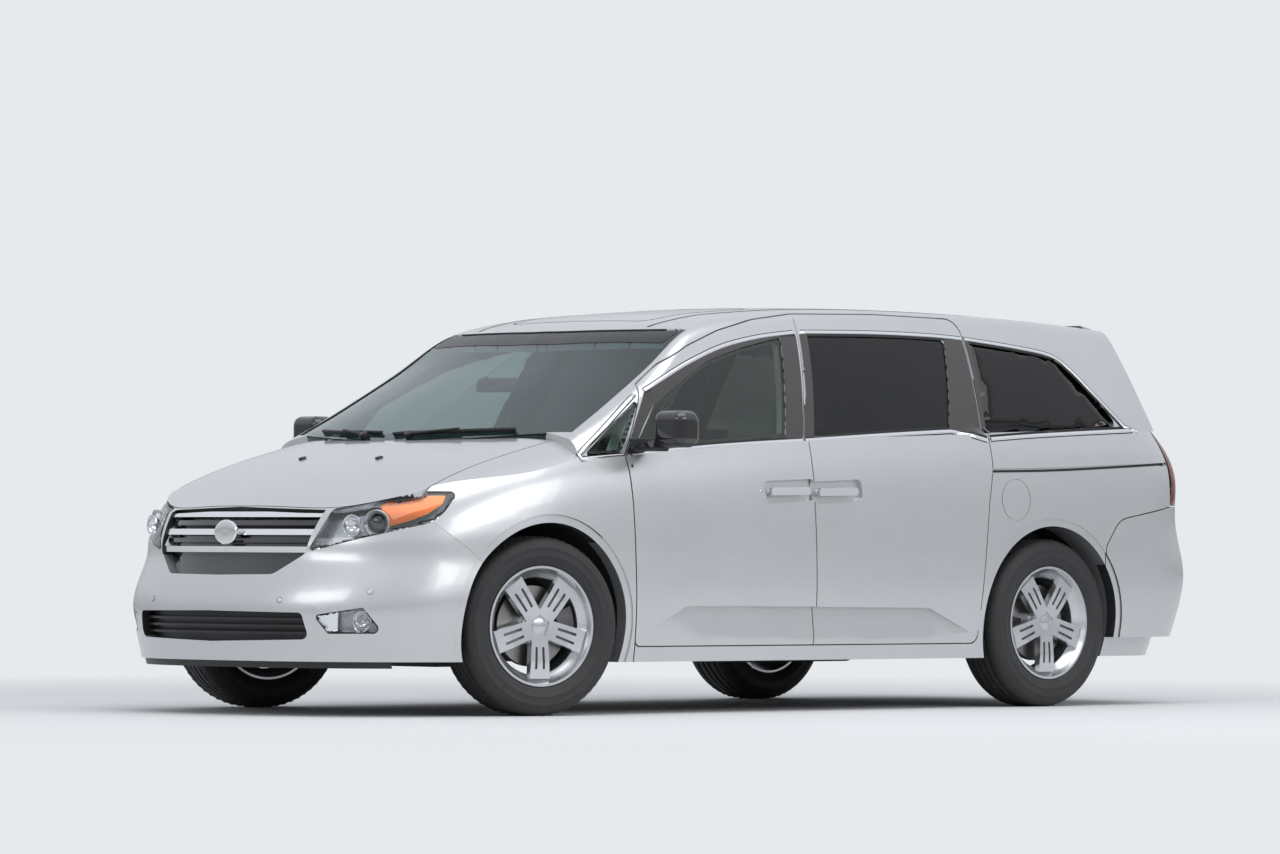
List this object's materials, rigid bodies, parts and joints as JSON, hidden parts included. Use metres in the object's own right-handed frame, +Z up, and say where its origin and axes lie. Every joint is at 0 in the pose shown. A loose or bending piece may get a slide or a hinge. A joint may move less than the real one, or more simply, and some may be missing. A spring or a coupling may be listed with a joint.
{
  "type": "seven-seat minivan",
  "caption": "Family minivan with a hollow cabin, hinged front doors, hood and tailgate, steered front wheels and free-rolling wheels.",
  "frame": {"origin": "on the ground, under the middle of the overall length and width", "axes": "+X forward, +Y to the left of the van, +Z up"},
  "size_m": [5.1529, 2.436, 1.7367],
  "materials": {
    "body_paint": "light silver metallic paint",
    "underbody_steel": "dark primer",
    "clear_glass": "lightly tinted",
    "privacy_glass": "dark tinted",
    "black_plastic": "grained",
    "gloss_black": "polished",
    "lamp_lens": "clear lens",
    "tail_lens": "red lens",
    "interior": "soft grained",
    "seat_leather": "grained",
    "engine_metal": "cast",
    "chassis_steel": "black coating",
    "exhaust_steel": "dull",
    "wheel_alloy": "painted silver",
    "tyre_rubber": "matt",
    "knuckle_iron": "as cast",
    "bright_trim": "polished"
  },
  "bodies": {
    "body": {"underbody": "underbody_steel", "floor_pan": "underbody_steel", "body_side_left": "body_paint", "body_side_right": "body_paint", "roof": "body_paint", "windshield": "clear_glass", "fixed_side_glass": "privacy_glass", "fender_left": "body_paint", "fender_right": "body_paint", "front_bumper": "body_paint", "upper_grille": "gloss_black", "lower_grille": "black_plastic", "headlamps": "lamp_lens", "tail_lamps": "tail_lens", "rear_bumper": "body_paint", "cowl": "black_plastic", "dashboard": "interior", "front_seats": "seat_leather", "rear_seats": "seat_leather", "engine": "engine_metal", "fuel_tank": "black_plastic", "exhaust": "exhaust_steel", "front_suspension": "chassis_steel", "rear_suspension": "chassis_steel", "sliding_door_left": "body_paint", "sliding_door_right": "body_paint", "sliding_door_glass": "privacy_glass", "fog_lamps": "lamp_lens", "sliding_handles": "bright_trim"},
    "front_door_left": {"front_door_left": "body_paint", "front_door_glass_left": "clear_glass", "mirror_left": "gloss_black", "front_handle_left": "bright_trim"},
    "knuckle_left": {"knuckle_left": "knuckle_iron"},
    "wheel_front_left": {"wheel_front_left": "wheel_alloy", "tyre_front_left": "tyre_rubber"},
    "wheel_rear_left": {"wheel_rear_left": "wheel_alloy", "tyre_rear_left": "tyre_rubber"},
    "front_door_right": {"front_door_right": "body_paint", "front_door_glass_right": "clear_glass", "mirror_right": "gloss_black", "front_handle_right": "bright_trim"},
    "knuckle_right": {"knuckle_right": "knuckle_iron"},
    "wheel_front_right": {"wheel_front_right": "wheel_alloy", "tyre_front_right": "tyre_rubber"},
    "wheel_rear_right": {"wheel_rear_right": "wheel_alloy", "tyre_rear_right": "tyre_rubber"},
    "hood": {"hood": "body_paint"},
    "tailgate": {"tailgate": "body_paint", "tailgate_glass": "privacy_glass"}
  },
  "joints": [
    {"name": "steer_left", "type": "hinge", "parent": "body", "child": "knuckle_left", "pos_m": [1.581, 0.805, 0.366], "axis": [0, 0, 1], "range_deg": [-21, 45]},
    {"name": "steer_right", "type": "hinge", "parent": "body", "child": "knuckle_right", "pos_m": [1.581, -0.805, 0.366], "axis": [0, 0, 1], "range_deg": [-21, 45]},
    {"name": "spin_front_left", "type": "hinge", "parent": "knuckle_left", "child": "wheel_front_left", "pos_m": [1.59347, 0.86369, 0.366], "axis": [0.2079, 0.9781, 0], "continuous": true},
    {"name": "spin_front_right", "type": "hinge", "parent": "knuckle_right", "child": "wheel_front_right", "pos_m": [1.56853, -0.86369, 0.366], "axis": [0.2079, 0.9781, 0], "continuous": true},
    {"name": "spin_rear_left", "type": "hinge", "parent": "body", "child": "wheel_rear_left", "pos_m": [-1.419, 0.865, 0.366], "axis": [0, 1, 0], "continuous": true},
    {"name": "spin_rear_right", "type": "hinge", "parent": "body", "child": "wheel_rear_right", "pos_m": [-1.419, -0.865, 0.366], "axis": [0, 1, 0], "continuous": true},
    {"name": "front_door_left_hinge", "type": "hinge", "parent": "body", "child": "front_door_left", "pos_m": [1.138, 1.005, 0.7], "axis": [0, 0, -1], "range_deg": [0, 67]},
    {"name": "front_door_right_hinge", "type": "hinge", "parent": "body", "child": "front_door_right", "pos_m": [1.138, -1.005, 0.7], "axis": [0, 0, 1], "range_deg": [0, 67]},
    {"name": "hood_hinge", "type": "hinge", "parent": "body", "child": "hood", "pos_m": [1.392, 0, 1.142], "axis": [0, -1, 0], "range_deg": [0, 50]},
    {"name": "tailgate_hinge", "type": "hinge", "parent": "body", "child": "tailgate", "pos_m": [-2.014, 0, 1.7], "axis": [0, 1, 0], "range_deg": [0, 85]}
  ],
  "couplings": [
    {"joint": "steer_right", "follows": "steer_left", "ratio": 1}
  ]
}
